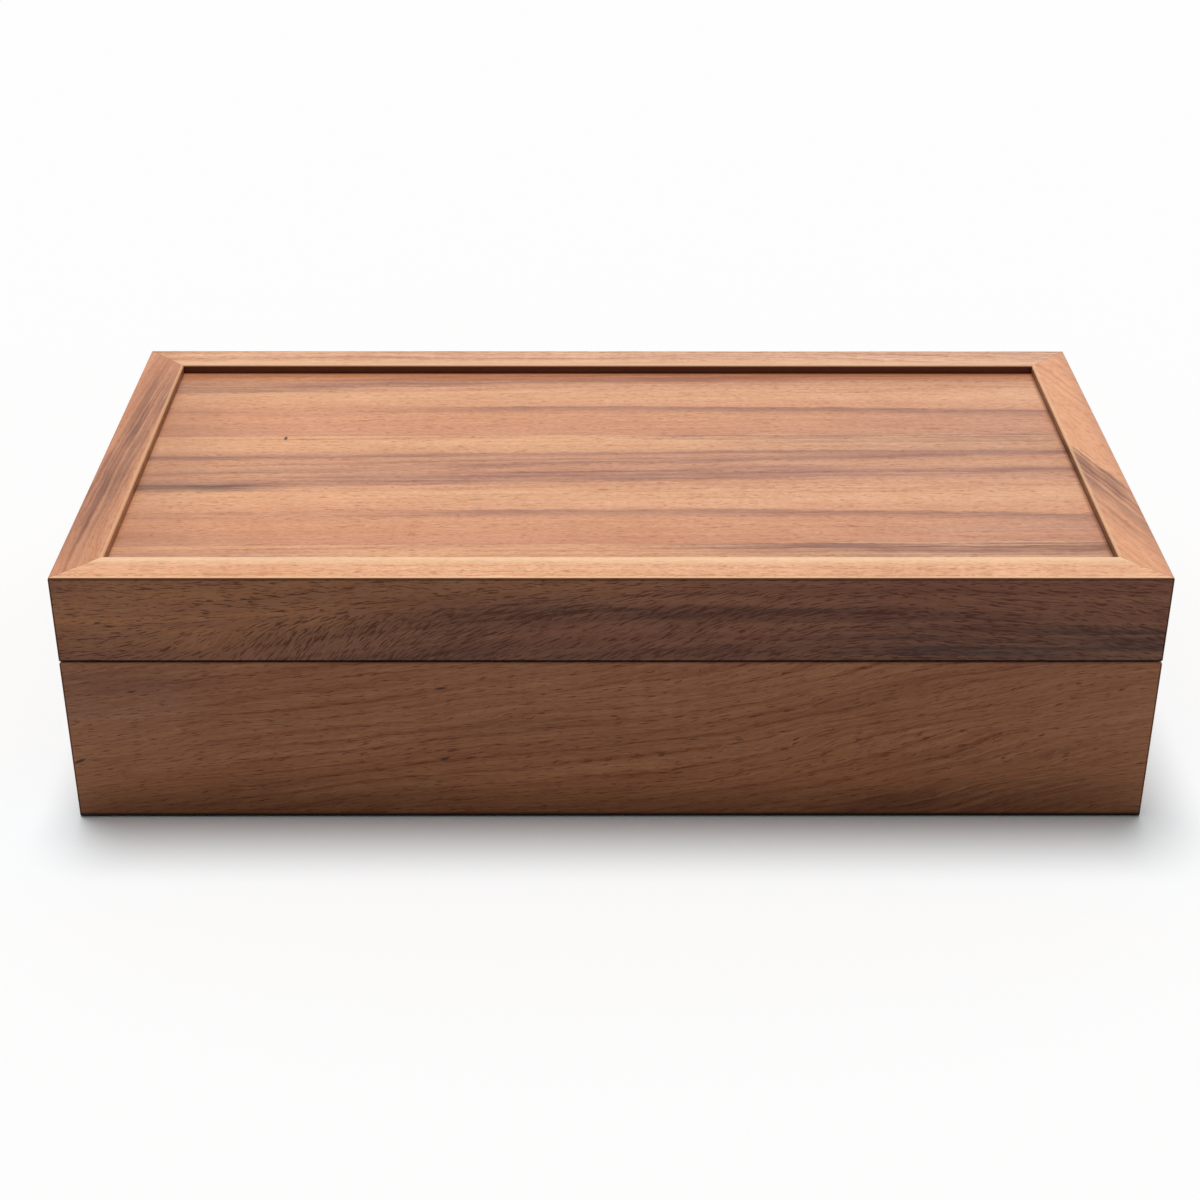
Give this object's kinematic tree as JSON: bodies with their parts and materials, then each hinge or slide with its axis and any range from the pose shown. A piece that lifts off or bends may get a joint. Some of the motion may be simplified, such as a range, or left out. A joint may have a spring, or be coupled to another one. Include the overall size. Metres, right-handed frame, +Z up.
{
  "type": "tea box",
  "caption": "Rectangular wooden box with mitred walls, lapped dividers for tea bags, and a hinged lid whose veneered panel is recessed in a mitred frame.",
  "frame": {"origin": "middle of the underside of the base", "axes": "+X to the right along the width, +Y to the back where the hinges are, +Z up"},
  "size_m": [0.36, 0.188, 0.092],
  "materials": {
    "base_acacia": "oiled satin acacia",
    "lid_acacia": "oiled satin acacia",
    "panel_veneer": "oiled satin veneer",
    "divider_acacia": "sanded acacia",
    "board_ply": "sanded board",
    "hinge_brass": "satin brass",
    "screw_brass": "satin brass"
  },
  "bodies": {
    "base": {"base_front_wall": "base_acacia", "base_back_wall": "base_acacia", "base_left_wall": "base_acacia", "base_right_wall": "base_acacia", "bottom_board": "board_ply", "long_divider": "divider_acacia", "cross_divider_1": "divider_acacia", "cross_divider_2": "divider_acacia", "cross_divider_3": "divider_acacia", "hinge_base_leaf_left": "hinge_brass", "hinge_pin_left": "hinge_brass", "base_leaf_screws_left": "screw_brass", "hinge_base_leaf_right": "hinge_brass", "hinge_pin_right": "hinge_brass", "base_leaf_screws_right": "screw_brass"},
    "lid": {"lid_front_rail": "lid_acacia", "lid_back_rail": "lid_acacia", "lid_left_rail": "lid_acacia", "lid_right_rail": "lid_acacia", "lid_panel_core": "board_ply", "lid_lining_veneer": "panel_veneer", "lid_veneer_back": "panel_veneer", "lid_veneer_middle": "panel_veneer", "lid_veneer_front": "panel_veneer", "hinge_lid_leaf_left": "hinge_brass", "lid_leaf_screws_left": "screw_brass", "hinge_lid_leaf_right": "hinge_brass", "lid_leaf_screws_right": "screw_brass"}
  },
  "joints": [
    {"name": "lid_hinge", "type": "hinge", "parent": "base", "child": "lid", "pos_m": [0, 0.0895, 0.06075], "axis": [-1, 0, 0], "range_deg": [0, 95]}
  ]
}
